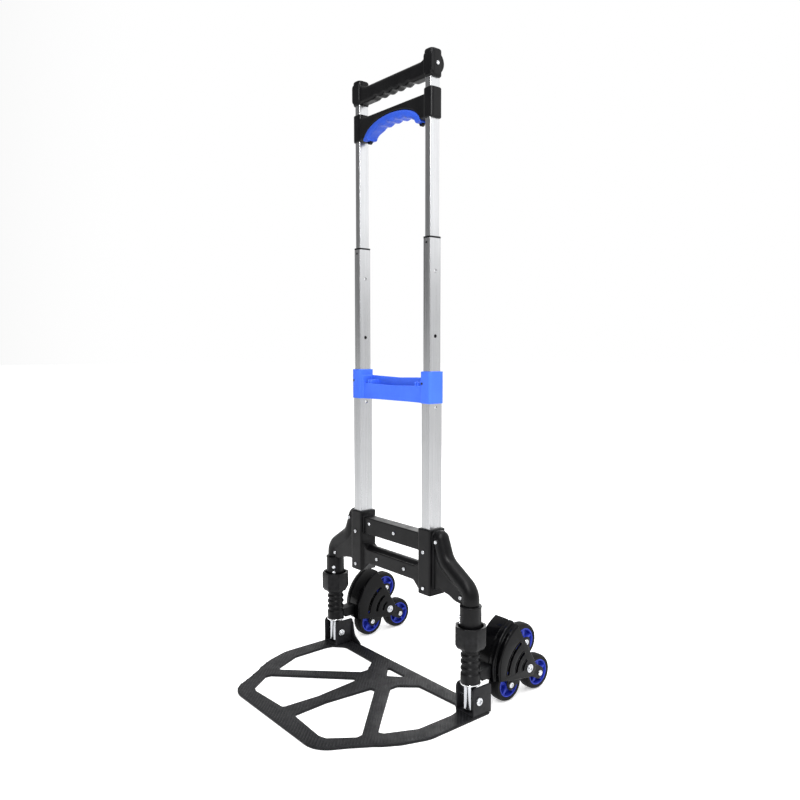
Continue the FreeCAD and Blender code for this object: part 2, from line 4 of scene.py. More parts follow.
import bmesh
import bpy
from mathutils import Matrix, Vector


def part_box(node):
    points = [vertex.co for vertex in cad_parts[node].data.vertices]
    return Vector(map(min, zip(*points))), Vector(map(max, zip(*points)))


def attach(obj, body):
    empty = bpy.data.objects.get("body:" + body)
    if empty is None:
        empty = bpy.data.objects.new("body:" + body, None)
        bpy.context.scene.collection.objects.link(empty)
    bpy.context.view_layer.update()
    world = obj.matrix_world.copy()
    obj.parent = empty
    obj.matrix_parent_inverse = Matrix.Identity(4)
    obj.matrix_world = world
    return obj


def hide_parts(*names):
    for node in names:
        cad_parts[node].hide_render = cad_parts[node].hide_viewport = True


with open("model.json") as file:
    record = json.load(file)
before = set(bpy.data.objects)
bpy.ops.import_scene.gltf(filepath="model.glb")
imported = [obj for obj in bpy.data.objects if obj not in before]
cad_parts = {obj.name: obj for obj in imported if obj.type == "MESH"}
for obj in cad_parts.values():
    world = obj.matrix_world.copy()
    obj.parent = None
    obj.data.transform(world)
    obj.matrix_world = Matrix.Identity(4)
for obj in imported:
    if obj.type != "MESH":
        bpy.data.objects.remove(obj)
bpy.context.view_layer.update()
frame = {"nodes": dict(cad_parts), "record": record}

# Lengths are in millimetres up to the last step of piece(), with y = 0 in the plane of the legs.
MM = 0.001


def span(node):
    """Lowest and highest corner of a CAD node, in millimetres."""
    return [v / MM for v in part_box(node)]


washers, lower_tube, plate_box = span("leg_washers"), span("lower_mast_tube_right"), span("toe_plate")
LEG_Y = (washers[0].y + washers[1].y) / 2
WASHER_R = 16.5
LEG_X = washers[1].x - WASHER_R
POST_X = (lower_tube[0].x + lower_tube[1].x) / 2
axle_box = span("cluster_axle_right")
AXLE_Y = (axle_box[0].y + axle_box[1].y) / 2 - LEG_Y
AXLE_Z = (axle_box[0].z + axle_box[1].z) / 2
SIDES = (("right", 1), ("left", -1))

# ------------------------------------------------------------------ materials


class Graph:
    """Small helper for writing node materials."""

    def __init__(self, name):
        self.material = bpy.data.materials.new(name)
        self.material.use_nodes = True
        self.nodes = self.material.node_tree.nodes
        self.links = self.material.node_tree.links
        self.shader = self.nodes["Principled BSDF"]
        self.coords = self.nodes.new("ShaderNodeTexCoord").outputs["Object"]

    def set(self, **values):
        for key, value in values.items():
            self.shader.inputs[key.replace("_", " ")].default_value = value

    def feed(self, socket, value):
        self.links.new(value, self.shader.inputs[socket])

    def scaled(self, scale):
        node = self.nodes.new("ShaderNodeMapping")
        node.inputs["Scale"].default_value = scale
        self.links.new(self.coords, node.inputs["Vector"])
        return node.outputs["Vector"]

    def noise(self, scale, detail=4.0, rough=0.55, vector=None):
        node = self.nodes.new("ShaderNodeTexNoise")
        node.inputs["Scale"].default_value = scale
        node.inputs["Detail"].default_value = detail
        node.inputs["Roughness"].default_value = rough
        self.links.new(vector or self.coords, node.inputs["Vector"])
        return node.outputs["Fac"]

    def cells(self, scale):
        node = self.nodes.new("ShaderNodeTexVoronoi")
        node.inputs["Scale"].default_value = scale
        self.links.new(self.coords, node.inputs["Vector"])
        return node.outputs["Distance"]

    def ramp(self, value, low, high, at=(0.35, 0.65)):
        """Colours or greys from low to high as value goes between two stops."""
        node = self.nodes.new("ShaderNodeValToRGB")
        for stop, place, colour in zip(node.color_ramp.elements, at, (low, high)):
            stop.position = place
            stop.color = (*colour, 1) if isinstance(colour, tuple) else (colour, colour, colour, 1)
        self.links.new(value, node.inputs["Fac"])
        return node.outputs["Color"]

    def mix(self, kind, a, b, amount=1.0):
        node = self.nodes.new("ShaderNodeMix")
        node.data_type = "RGBA"
        node.blend_type = kind
        node.inputs["Factor"].default_value = amount
        self.links.new(a, node.inputs["A"])
        self.links.new(b, node.inputs["B"])
        return node.outputs["Result"]

    def edges(self, low=0.5, high=0.56):
        """White on sharp convex edges, where moulded or coated parts wear."""
        return self.ramp(self.nodes.new("ShaderNodeNewGeometry").outputs["Pointiness"], 0.0, 1.0, (low, high))

    def bump(self, height, strength, distance):
        node = self.nodes.new("ShaderNodeBump")
        node.inputs["Strength"].default_value = strength
        node.inputs["Distance"].default_value = distance
        self.links.new(height, node.inputs["Height"])
        previous = self.shader.inputs["Normal"]
        if previous.is_linked:
            self.links.new(previous.links[0].from_socket, node.inputs["Normal"])
        self.links.new(node.outputs["Normal"], previous)


def plastic(name, dark, light, rough, grain, worn=None, shine=0.14):
    g = Graph(name)
    tone = g.ramp(g.noise(22, 5), dark, light)
    speck = g.ramp(g.noise(900, 3), 0.86, 1.0, (0.3, 0.6))
    colour = g.mix("MULTIPLY", tone, speck)
    if worn:
        rubbed = g.mix("MULTIPLY", g.edges(), g.ramp(g.noise(160), (0, 0, 0), worn))
        colour = g.mix("ADD", colour, rubbed, 0.6)
    g.feed("Base Color", colour)
    g.feed("Roughness", g.ramp(g.noise(60, 6), rough[0], rough[1]))
    g.bump(g.cells(1700), grain, 0.00012)
    g.bump(g.noise(35, 2), 0.10, 0.0006)
    g.set(Specular_IOR_Level=shine)
    return g.material


def metal(name, dark, light, rough, stretch=(900, 900, 6), bump=0.05, metallic=1.0):
    g = Graph(name)
    lines = g.noise(1.0, 3, 0.5, g.scaled(stretch))
    broad = g.noise(14, 4)
    g.feed("Base Color", g.mix("MULTIPLY", g.ramp(lines, dark, light), g.ramp(broad, 0.94, 1.0)))
    g.feed("Roughness", g.ramp(g.noise(1.0, 4, 0.6, g.scaled(tuple(s * 0.6 for s in stretch))), *rough))
    g.bump(lines, bump, 0.0001)
    g.set(Metallic=metallic)
    return g.material


MATERIALS = {
    "shell_black": plastic("shell_black", (0.0022, 0.0022, 0.0026), (0.0045, 0.0045, 0.005), (0.30, 0.44),
                           0.22, (0.01, 0.01, 0.011)),
    "gloss_black": plastic("gloss_black", (0.0012, 0.0012, 0.0015), (0.0024, 0.0024, 0.003), (0.10, 0.17),
                           0.03, shine=0.12),
    "blue_plastic": plastic("blue_plastic", (0.045, 0.13, 0.72), (0.055, 0.155, 0.80), (0.34, 0.44), 0.12,
                            (0.02, 0.03, 0.05)),
    "blue_grip": plastic("blue_grip", (0.020, 0.065, 0.42), (0.026, 0.078, 0.48), (0.28, 0.38), 0.10,
                         (0.01, 0.02, 0.04)),
    "blue_rim": plastic("blue_rim", (0.020, 0.035, 0.36), (0.026, 0.045, 0.43), (0.30, 0.42), 0.10,
                        (0.01, 0.02, 0.04)),
    "plate_black": plastic("plate_black", (0.004, 0.0042, 0.005), (0.008, 0.0082, 0.0095), (0.40, 0.52), 0.30,
                           (0.02, 0.02, 0.022)),
    "bracket_black": plastic("bracket_black", (0.006, 0.006, 0.007), (0.010, 0.010, 0.012), (0.36, 0.48),
                             0.25, (0.02, 0.02, 0.022)),
    "tyre_black": plastic("tyre_black", (0.005, 0.005, 0.0055), (0.009, 0.009, 0.0095), (0.62, 0.78), 0.35),
    "spider_black": plastic("spider_black", (0.005, 0.005, 0.006), (0.009, 0.009, 0.010), (0.45, 0.55), 0.2),
    "guide_plastic": plastic("guide_plastic", (0.02, 0.02, 0.022), (0.03, 0.03, 0.032), (0.5, 0.6), 0.2),
    "anodised": metal("anodised", (0.43, 0.435, 0.445), (0.50, 0.505, 0.515), (0.26, 0.36)),
    "leg_metal": metal("leg_metal", (0.40, 0.41, 0.43), (0.54, 0.55, 0.58), (0.12, 0.22), (700, 700, 20)),
    "chrome": metal("chrome", (0.78, 0.79, 0.80), (0.88, 0.88, 0.90), (0.06, 0.12), (60, 60, 60), 0.01),
    "screw_zinc": metal("screw_zinc", (0.50, 0.51, 0.53), (0.64, 0.65, 0.67), (0.20, 0.32),
                        (220, 220, 220), 0.04),
    "screw_black": metal("screw_black", (0.01, 0.01, 0.011), (0.02, 0.02, 0.021), (0.35, 0.5),
                         (220, 220, 220), 0.04, 0.4),
    "spring_steel": metal("spring_steel", (0.42, 0.42, 0.44), (0.52, 0.52, 0.54), (0.28, 0.4),
                          (300, 300, 300)),
}

# ------------------------------------------------------------------ mesh tools


def corner(points, radius, closed=True, steps=5):
    """Points of an outline with its corners rounded; radius is one value or one per corner."""
    n = len(points)
    radii = radius if isinstance(radius, (list, tuple)) else [radius] * n
    out = []
    for i, p in enumerate(points):
        p = Vector(p)
        if radii[i] <= 0 or (not closed and i in (0, n - 1)):
            out.append(p)
            continue
        u = (Vector(points[i - 1]) - p).normalized()
        v = (Vector(points[(i + 1) % n]) - p).normalized()
        half = u.angle(v) / 2
        centre = p + (u + v).normalized() * (radii[i] / math.sin(half))
        start, end = p + u * (radii[i] / math.tan(half)), p + v * (radii[i] / math.tan(half))
        a, b = start - centre, end - centre
        turn = a.angle(b)
        for k in range(steps + 1):
            t = k / steps
            out.append(centre + (a * math.sin((1 - t) * turn) + b * math.sin(t * turn)) / math.sin(turn))
    return out


def turned_to(plane):
    """Matrix that lays a drawing made in x, y (extruded along z) into another plane."""
    return {"xy": Matrix.Identity(4),
            "xz": Matrix(((1, 0, 0, 0), (0, 0, 1, 0), (0, 1, 0, 0), (0, 0, 0, 1))),
            "yz": Matrix(((0, 0, 1, 0), (1, 0, 0, 0), (0, 1, 0, 0), (0, 0, 0, 1)))}[plane]


def slab(bm, outline, plane, low, high, holes=(), bevel=0.5, segments=2):
    """Flat plate with any holes, its rims rounded, from a filled outline."""
    curve = bpy.data.curves.new("outline", "CURVE")
    curve.dimensions, curve.fill_mode = "2D", "BOTH"
    curve.extrude = (high - low) / 2 - bevel
    curve.bevel_depth, curve.bevel_resolution, curve.offset = bevel, segments, -bevel
    for loop in (outline, *holes):
        spline = curve.splines.new("POLY")
        spline.points.add(len(loop) - 1)
        for point, p in zip(spline.points, loop):
            point.co = (p[0], p[1], 0, 1)
        spline.use_cyclic_u = True
    holder = bpy.data.objects.new("outline", curve)
    mesh = bpy.data.meshes.new_from_object(holder)
    mesh.transform(turned_to(plane) @ Matrix.Translation((0, 0, (low + high) / 2)))
    add(bm, mesh)
    bpy.data.objects.remove(holder)
    bpy.data.curves.remove(curve)


def add(bm, mesh):
    part = bmesh.new()
    part.from_mesh(mesh)
    bmesh.ops.remove_doubles(part, verts=part.verts, dist=1e-4)
    bmesh.ops.recalc_face_normals(part, faces=part.faces)
    part.to_mesh(mesh)
    part.free()
    bm.from_mesh(mesh)
    bpy.data.meshes.remove(mesh)


def skin(bm, rings):
    """Closed surface over a row of rings that all have the same number of points."""
    n = len(rings[0])
    new = [bm.faces.new(rings[0]), bm.faces.new(rings[-1][::-1])]
    for one, two in zip(rings, rings[1:]):
        new += [bm.faces.new((one[k], one[(k + 1) % n], two[(k + 1) % n], two[k])) for k in range(n)]
    bmesh.ops.recalc_face_normals(bm, faces=new)


def lathe(bm, profile, centre, axis="x", steps=48, arc=None):
    """Solid of revolution from (radius, height along the axis) points.

    arc is (start, end) in degrees for a part turn.
    """
    start, end = arc or (0, 360)
    count = steps if arc is None else steps + 1
    rings = []
    for k in range(count):
        a = math.radians(start + (end - start) * k / steps)
        ring = []
        for r, h in profile:
            u, v = r * math.cos(a), r * math.sin(a)
            p = {"x": (h, u, v), "y": (u, h, v), "z": (u, v, h)}[axis]
            ring.append(bm.verts.new(Vector(centre) + Vector(p)))
        rings.append(ring)
    new = []
    n = len(profile)
    for k in range(steps):
        one, two = rings[k], rings[(k + 1) % len(rings)]
        for i in range(n):
            j = (i + 1) % n
            if profile[i][0] < 1e-6 and profile[j][0] < 1e-6:
                continue
            new.append(bm.faces.new((one[i], one[j], two[j], two[i])))
    if arc:
        new += [bm.faces.new(rings[0]), bm.faces.new(rings[-1][::-1])]
    bmesh.ops.remove_doubles(bm, verts=[v for ring in rings for v in ring], dist=1e-4)
    bmesh.ops.recalc_face_normals(bm, faces=[f for f in new if f.is_valid])


def rounded_profile(points, radius, steps=4):
    return [(p.x, p.y) for p in corner(points, radius, True, steps)]


def tube_along(bm, path, radius, steps=32):
    """Round bar swept along a path in the x, z plane."""
    rings = []
    for i, p in enumerate(path):
        ahead = path[min(i + 1, len(path) - 1)] - path[max(i - 1, 0)]
        side = Vector((ahead.y, -ahead.x)).normalized()
        rings.append([bm.verts.new((p.x + side.x * radius * math.cos(a), radius * math.sin(a),
                                    p.y + side.y * radius * math.cos(a)))
                      for a in (2 * math.pi * k / steps for k in range(steps))])
    skin(bm, rings)


def bar_along_x(bm, stations, steps=5):
    """Rounded bar along x; each station is (x, half depth, low z, high z, corner radius)."""
    rings = []
    for x, half, low, high, r in stations:
        r = min(r, half * 0.98, (high - low) * 0.49)
        ring = []
        for k, (cy, cz) in enumerate(((half - r, high - r), (r - half, high - r), (r - half, low + r),
                                      (half - r, low + r))):
            for i in range(steps + 1):
                a = math.pi / 2 * (k + i / steps)
                ring.append(bm.verts.new((x, cy + r * math.cos(a), cz + r * math.sin(a))))
        rings.append(ring)
    skin(bm, rings)


def evenly(start, stop, count):
    return [start + (stop - start) * k / count for k in range(count + 1)]


def wave(x, reach, pitch, depth):
    """Finger scallops: depth of the hollow at x."""
    return depth * (0.5 - 0.5 * math.cos(2 * math.pi * (x + reach) / pitch)) if abs(x) < reach else 0.0


def rect(x0, x1, y0, y1, radius=0.0):
    points = [(x0, y0), (x1, y0), (x1, y1), (x0, y1)]
    return corner(points, radius) if radius else [Vector(p) for p in points]


def mirror(bm):
    """Adds the other side's copy of everything in the mesh."""
    copy = bmesh.ops.duplicate(bm, geom=bm.verts[:] + bm.edges[:] + bm.faces[:])["geom"]
    for v in (g for g in copy if isinstance(g, bmesh.types.BMVert)):
        v.co.x = -v.co.x
    bmesh.ops.reverse_faces(bm, faces=[g for g in copy if isinstance(g, bmesh.types.BMFace)])


def flip(bm):
    for v in bm.verts:
        v.co.x = -v.co.x
    bmesh.ops.reverse_faces(bm, faces=bm.faces[:])


def applied(mesh, *modifiers):
    """Mesh with the given modifiers, (kind, settings) pairs, applied in order."""
    holder = bpy.data.objects.new("work", mesh)
    bpy.context.scene.collection.objects.link(holder)
    for kind, settings in modifiers:
        modifier = holder.modifiers.new(kind.lower(), kind)
        for key, value in settings.items():
            setattr(modifier, key, value)
    result = bpy.data.meshes.new_from_object(holder.evaluated_get(bpy.context.evaluated_depsgraph_get()))
    bpy.data.objects.remove(holder)
    return result


def to_mesh(bm, name="work"):
    mesh = bpy.data.meshes.new(name)
    bm.normal_update()
    bm.to_mesh(mesh)
    bm.free()
    return mesh


def carved(mesh, cutter):
    """Mesh with the cutter's solids, which may overlap, taken out of it."""
    tool = bpy.data.objects.new("tool", to_mesh(cutter))
    bpy.context.scene.collection.objects.link(tool)
    result = applied(mesh, ("BOOLEAN", {"object": tool, "operation": "DIFFERENCE", "solver": "EXACT",
                                        "use_self": True}))
    bpy.data.objects.remove(tool)
    return result


def moulded(bm, voxel, rounds, cutter, keep):
    """One soft skin over overlapping solids, as a moulding has; the cutter, if any, is taken out last."""
    steps = [("REMESH", {"mode": "VOXEL", "voxel_size": voxel}),
             ("SMOOTH", {"factor": 0.5, "iterations": rounds}),
             ("DECIMATE", {"ratio": keep})]
    mesh = applied(to_mesh(bm), *steps)
    return mesh if cutter is None else carved(mesh, cutter)


def piece(name, source, material, body, replaces=(), angle=35):
    """Finished piece from a bmesh or mesh in millimetres, on its body and in its slot."""
    mesh = source if isinstance(source, bpy.types.Mesh) else to_mesh(source)
    mesh.name = name
    mesh.transform(Matrix.Translation((0, LEG_Y * MM, 0)) @ Matrix.Scale(MM, 4))
    obj = bpy.data.objects.new(name, mesh)
    bpy.context.scene.collection.objects.link(obj)
    mesh.materials.clear()
    mesh.materials.append(MATERIALS[material])
    mesh.shade_smooth()
    mesh.set_sharp_from_angle(angle=math.radians(angle))
    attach(obj, body)
    if replaces:
        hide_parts(*replaces)
    return obj


# ------------------------------------------------------------------ CAD nodes that stay
for name, node in frame["nodes"].items():
    slot_name = next(s["material_slot"] for s in frame["record"]["subparts"] if s["node"] == name)
    node.data.materials.clear()
    node.data.materials.append(MATERIALS[slot_name])
    node.data.set_sharp_from_angle(angle=math.radians(30))

# ------------------------------------------------------------------ screws


def screw_master(r_head, rise, slot_width):
    """Pan head with a cross recess, standing on z = 0."""
    bm = bmesh.new()
    lathe(bm, rounded_profile([(0, -0.6), (r_head, -0.6), (r_head, rise), (0, rise)], [0, 0, rise * 0.5, 0]),
          (0, 0, 0), "z", 28)
    tool = bmesh.new()
    w, reach = slot_width / 2, r_head * 0.55
    for a, b in ((w, reach), (reach, w)):
        bmesh.ops.create_cube(tool, size=1, matrix=Matrix.Translation((0, 0, rise)) @ Matrix.Diagonal(
            (2 * a, 2 * b, rise * 0.9, 1)))
    return carved(to_mesh(bm), tool)


def seat_master(r_head, rise):
    """Raised rim round a screw head."""
    bm = bmesh.new()
    section = [(r_head + 0.15, -0.8), (r_head + 1.5, -0.8), (r_head + 1.2, rise), (r_head + 0.3, rise)]
    lathe(bm, rounded_profile(section, [0, 0, 0.4, 0.3], 3), (0, 0, 0), "z", 28)
    return to_mesh(bm)


PAN, PAN_RIM = screw_master(3.2, 1.5, 1.1), seat_master(3.2, 0.5)
HEX = screw_master(4.8, 2.4, 1.9)
SMALL = screw_master(1.9, 0.9, 0.5)
HINGE_HEAD = screw_master(6.4, 3.1, 2.3)


def facing(direction, spin):
    aim = Vector(direction).to_track_quat("Z", "Y").to_matrix().to_4x4()
    return aim @ Matrix.Rotation(math.radians(spin), 4, "Z")


def placed(bm, mesh, at, direction, spin=0.0):
    copy = mesh.copy()
    copy.transform(Matrix.Translation(at) @ facing(direction, spin))
    bm.from_mesh(copy)
    bpy.data.meshes.remove(copy)


def screws(name, spots, master, material, body, replaces=(), rim=None):
    """Screw heads at (point, direction) spots, each turned a little differently."""
    heads, rims = bmesh.new(), bmesh.new()
    for k, (at, direction) in enumerate(spots):
        placed(heads, master, at, direction, 37 * k)
        if rim:
            placed(rims, rim, at, direction)
    piece(name, heads, material, body, replaces)
    if rim:
        piece(name + "_seats", rims, "shell_black", body)
    else:
        rims.free()


# ------------------------------------------------------------------ base
BASE_R = 14.0
SOCKET_HALF = (15.0, 17.5)
base_box = span("base_shell_front")
SOCKET_TOP, SOCKET_LOW = base_box[1].z, base_box[0].z
LEG_LINE = corner([(LEG_X, 177.2), (LEG_X, 198.5), (131.5, 234.0), (117.5, 270.0)], [0, 26.0, 40.0, 0],
                  False, 12)
CROWN_SCREW = (120.5, 266.5)
PARTING = 0.15      # each shell stops this far from the parting line


def post_cutter(half_w, half_d, z0, z1, radius=1.6):
    bm = bmesh.new()
    outline = rect(POST_X - half_w, POST_X + half_w, -half_d, half_d, radius)
    slab(bm, outline, "xy", z0, z1, bevel=0.01, segments=0)
    mirror(bm)
    return bm


def base_solid():
    bm = bmesh.new()
    tube_along(bm, LEG_LINE, BASE_R)
    lathe(bm, [(0, -BASE_R)] + [(BASE_R * math.cos(a), BASE_R * math.sin(a)) for a in
                               (math.radians(15 * k) for k in range(-5, 6))] + [(0, BASE_R)],
          (LEG_LINE[-1].x, 0, LEG_LINE[-1].y), "z", 32)
    lathe(bm, [(0, -14.2), (4.6, -14.2), (4.6, -6), (0, -6)], (CROWN_SCREW[0], 0, CROWN_SCREW[1]), "y", 28)
    x0, x1 = POST_X - SOCKET_HALF[0], POST_X + SOCKET_HALF[0]
    slab(bm, rect(x0, x1, -SOCKET_HALF[1], SOCKET_HALF[1], 2.5), "xy", SOCKET_LOW, SOCKET_TOP, bevel=0.8)
    web = corner([(104, 182), (122, 188.5), (146, 185), (161, 178.5), (174, 177.2), (184, 190), (172, 208),
                  (132, 233), (117, 268), (104, 268)], [0, 6, 20, 6, 0, 6, 6, 6, 0, 0])
    slab(bm, web, "xz", -10, 10)
    slab(bm, corner([(82, 243.4), (82, 273.7), (-4, 273.7), (-4, 243.4)], 0), "xz", -11, 11)
    lower = corner([(84, 175.2), (78, 176), (62, 190.7), (-4, 190.7), (-4, 215.7), (66, 215.7), (82, 226)],
                   [0, 3, 6, 0, 0, 6, 0])
    slab(bm, lower, "xz", -13, 13)
    # rounded hand bar along the top of the lower bar
    lathe(bm, rounded_profile([(0, -4), (13.0, -4), (13.0, 76), (0, 76)], 0), (0, 1.0, 208.0), "x", 40)
    mirror(bm)
    return bm


base_mesh = moulded(base_solid(), 0.95, 4, post_cutter(10.02, 14.02, SOCKET_LOW + 2.4, SOCKET_TOP + 10), 0.45)


def half_of(mesh, sign):
    """The front (-1) or rear (+1) half of a mesh, closed along the parting line."""
    bm = bmesh.new()
    bm.from_mesh(mesh)
    cut = bmesh.ops.bisect_plane(bm, geom=bm.verts[:] + bm.edges[:] + bm.faces[:],
                                 plane_co=(0, sign * PARTING, 0), plane_no=(0, -sign, 0),
                                 clear_outer=True)["geom_cut"]
    bmesh.ops.triangle_fill(bm, edges=[g for g in cut if isinstance(g, bmesh.types.BMEdge)], use_beauty=True,
                            normal=(0, -sign, 0))
    return bm


piece("base_front", half_of(base_mesh, -1), "shell_black", "frame", ["base_shell_front"], angle=50)
piece("base_rear", half_of(base_mesh, 1), "shell_black", "frame", ["base_shell_rear"], angle=50)
FRONT, BACK = (0, -1, 0), (0, 1, 0)
shell_spots = [((8, -10.9, 259.5), FRONT), ((-62, -10.9, 263.5), FRONT), ((-38, -12.9, 203.5), FRONT),
               ((38, -12.9, 203.5), FRONT), ((174, -9.9, 187.0), FRONT), ((-174, -9.9, 187.0), FRONT)]
shell_spots += [((side * CROWN_SCREW[0], -14.1, CROWN_SCREW[1]), FRONT) for _, side in SIDES]
screws("base_screws", shell_spots, PAN, "screw_zinc", "frame", ["base_shell_screws"], PAN_RIM)
socket_spots = [((side * POST_X - 1.5, -17.4, z), FRONT) for _, side in SIDES for z in (245.0, 184.0)]
screws("socket_rivets", socket_spots, PAN, "screw_zinc", "frame", ["base_socket_rivets"], PAN_RIM)
OUT = Vector((-0.7071, -0.7071, 0))
COLLAR_FACE = 17.1
collar_spots = [(Vector((side * LEG_X, 0, z)) + Vector((OUT.x * side, OUT.y, 0)) * COLLAR_FACE,
                 (OUT.x * side, OUT.y, 0)) for _, side in SIDES for z in (158.0, 147.5)]
screws("collar_screw_heads", collar_spots, PAN, "screw_zinc", "frame", ["collar_screws"])

# ------------------------------------------------------------------ leg collars and washers
collars = bmesh.new()
collar_section = [(11.0, 134), (17.2, 134), (17.2, 174.4), (17.7, 174.9), (17.7, 176.9), (11.0, 176.9)]
lathe(collars, rounded_profile(collar_section, [0, 0.6, 0.3, 0.3, 0.7, 0]), (LEG_X, 0, 0), "z", 64)
mirror(collars)
piece("collars", collars, "shell_black", "frame", ["leg_collars"])
rings = bmesh.new()
lathe(rings, rounded_profile([(11.05, 50.6), (WASHER_R, 50.6), (WASHER_R, 53.0), (11.05, 53.0)], 0.8),
      (LEG_X, 0, 0), "z", 64)
mirror(rings)
piece("washers", rings, "chrome", "frame", ["leg_washers"])

# ------------------------------------------------------------------ blue bridge
bridge_box = span("tube_bridge")
B0, B1 = bridge_box[0].z, bridge_box[1].z


def bridge_solid():
    bm = bmesh.new()
    x0, x1 = POST_X - 11.9, POST_X + 11.9
    hull = corner([(x0, -15.6), (x1, -15.6), (x1, 15.6), (x0, 15.6)], 3.6)
    slab(bm, hull, "xy", B0, B1, bevel=0.8)
    # root of the channel
    slab(bm, rect(x0 - 3, x0 + 4, -11.5, 11.5, 2), "xy", B0 + 1, B1 - 11, bevel=0.6)
    slab(bm, corner([(86, B0), (86, 520), (-3, 518), (-3, B0 + 1)], 0), "xz", -9.2, -6.0, bevel=0.6)
    slab(bm, corner([(86, B0), (86, 534), (-3, 531.5), (-3, B0 + 1)], 0), "xz", 9.2, 12.4, bevel=0.6)
    slab(bm, rect(-3, 86, -9.2, 12.4), "xy", B0 + 0.5, B0 + 3.4, bevel=0.6)
    for x in (60.0, 66.5):
        slab(bm, rect(x, x + 2.2, -8, 11), "xy", B0 + 1, 526, bevel=0.4)
    lathe(bm, [(0, B0 + 1), (4.6, B0 + 1), (4.6, 512), (0, 512)], (74, 1.5, 0), "z", 28)
    mirror(bm)
    return bm


bridge_cut = post_cutter(9.98, 13.98, 480, B1 - 3.2)
bridge_cut.from_mesh(to_mesh(post_cutter(8.7, 12.3, B1 - 4, B1 + 5)))
piece("bridge", moulded(bridge_solid(), 0.7, 3, bridge_cut, 0.5), "blue_plastic", "frame",
      ["tube_bridge"], angle=45)
bridge_spots = [((side * POST_X - 7.0, -15.4, 524.0), FRONT) for _, side in SIDES]
screws("bridge_screw_heads", bridge_spots, SMALL, "screw_black", "frame", ["bridge_screws"])

# ------------------------------------------------------------------ top handle
top_box = span("top_handle")
T0, T1 = top_box[0].z, top_box[1].z
BAR_TOP, BAR_LOW = 1043.0, 1015.5


def top_handle_solid():
    bm = bmesh.new()
    cap = corner([(85.0, -13), (107, -13), (107, 12.5), (85.0, 12.5)], 8.0, steps=7)
    slab(bm, cap, "xy", T0, T1, bevel=3.6, segments=4)
    boss = rounded_profile([(0, 87), (18.8, 87), (18.8, 106.5), (0, 106.5)], [0, 3, 3.5, 0])
    lathe(bm, boss, (0, -2.5, 1035), "x", 48)
    for v in list(bm.verts):
        v.co.y = max(v.co.y, -13.0)
    mirror(bm)
    # the bar flares up into both end caps
    bar_along_x(bm, [(x, 11.0, BAR_LOW + wave(x, 55, 22, 2.6),
                      BAR_TOP + 5 * max(0, (abs(x) - 74) / 12) ** 2, 6.0) for x in evenly(-88, 88, 176)])
    return bm


handle_cut = post_cutter(6.62, 10.02, 1000, 1051, 1.5)
piece("top_grip", moulded(top_handle_solid(), 0.8, 5, handle_cut, 0.5), "shell_black", "mast_upper",
      ["top_handle"], angle=50)
top_spots = [((side * 106.9, 0, 1034.0), (side, 0, 0)) for _, side in SIDES]
screws("top_rivets", top_spots, PAN, "screw_zinc", "mast_upper", ["handle_rivets"], PAN_RIM)

# ------------------------------------------------------------------ release handle
release_box = span("release_handle_body")
R0, R1 = release_box[0].z, release_box[1].z


ARCH_FOOT, ARCH_TOP, ARCH_LOW = span("release_grip")[0].z, span("release_grip")[1].z, 965.0
GRIP_HALF, FINGER_HALF = 76.0, 64.0


def arch(x, half, crown_z):
    """Height of the half ellipse that stands on the foot of the grip."""
    return ARCH_FOOT + (crown_z - ARCH_FOOT) * math.sqrt(max(0.0, 1 - (x / half) ** 2))


def release_solid():
    bm = bmesh.new()
    ends = corner([(84.3, -12.3), (106, -12.3), (106, 12.3), (84.3, 12.3)], 6.0, steps=6)
    slab(bm, ends, "xy", R0, R1, bevel=2.0, segments=3)
    mirror(bm)
    bar_along_x(bm, [(x, 11.3, max(R0 + 0.5, arch(x, GRIP_HALF, ARCH_TOP)), R1 - 8.5, 3.5)
                     for x in evenly(-88, 88, 176)])
    return bm


release_cut = post_cutter(6.9, 10.3, 930, 1010, 1.6)
piece("release_bar", moulded(release_solid(), 0.8, 4, release_cut, 0.5), "shell_black", "release_handle",
      ["release_handle_body"], angle=50)


def grip_solid():
    bm = bmesh.new()
    stations = []
    for x in (GRIP_HALF * math.sin(math.radians(t)) for t in evenly(-88, 88, 220)):
        low = arch(x, FINGER_HALF, ARCH_LOW) + wave(x, 44, 22, 2.4)
        high = arch(x, GRIP_HALF, ARCH_TOP) + 0.3
        swell = 12.9 - 1.6 * (abs(x) / GRIP_HALF) ** 4
        stations.append((x, swell, min(low, high - 1.5), high, 5.0))
    bar_along_x(bm, stations)
    return bm


piece("release_grip_pad", moulded(grip_solid(), 0.6, 4, None, 0.5), "blue_grip", "release_handle",
      ["release_grip"], angle=50)
lugs = bmesh.new()
lathe(lugs, rounded_profile([(2.3, -3), (4.5, -3), (4.5, 3), (2.3, 3)], 0.6, 3), (70, 0, 947.5), "y", 32)
mirror(lugs)
piece("release_eyes", lugs, "shell_black", "release_handle", ["release_lugs"])

# ------------------------------------------------------------------ caps of the middle tubes
cap_box = span("middle_tube_caps")
caps = bmesh.new()
slab(caps, rect(POST_X - 8.6, POST_X + 8.6, -12.2, 12.2, 1.8), "xy", 760.02, cap_box[1].z,
     [rect(POST_X - 6.9, POST_X + 6.9, -10.3, 10.3, 1.6)], bevel=0.5)
mirror(caps)
piece("tube_caps", caps, "shell_black", "mast_middle", ["middle_tube_caps"])

# ------------------------------------------------------------------ wheel arms, fenders and clusters
RING_Z0, RING_Z1, RING_HALF, CUP_R = 110.0, 145.0, 24.2, 20.5
FENDER_C, FENDER_R, FACE_R = (116.5, 62.6), 80.0, 75.0
FENDER_ANGLES = (114.0, 192.4)
HUB_REACH = 42.0        # from the centre bolt to each wheel bolt
# front and rear faces of the wheel cover, from the leg
FACE_OUT, BACK_OUT = 23.5, -26.5
COVER_WALL, APEX_R = 3.5, 15.8
# radius, width, and first and last angle of each vent
VENTS = ((17, 4.0, 120, 172), (33, 5.0, 118, 174), (53, 5.5, 117, 175))


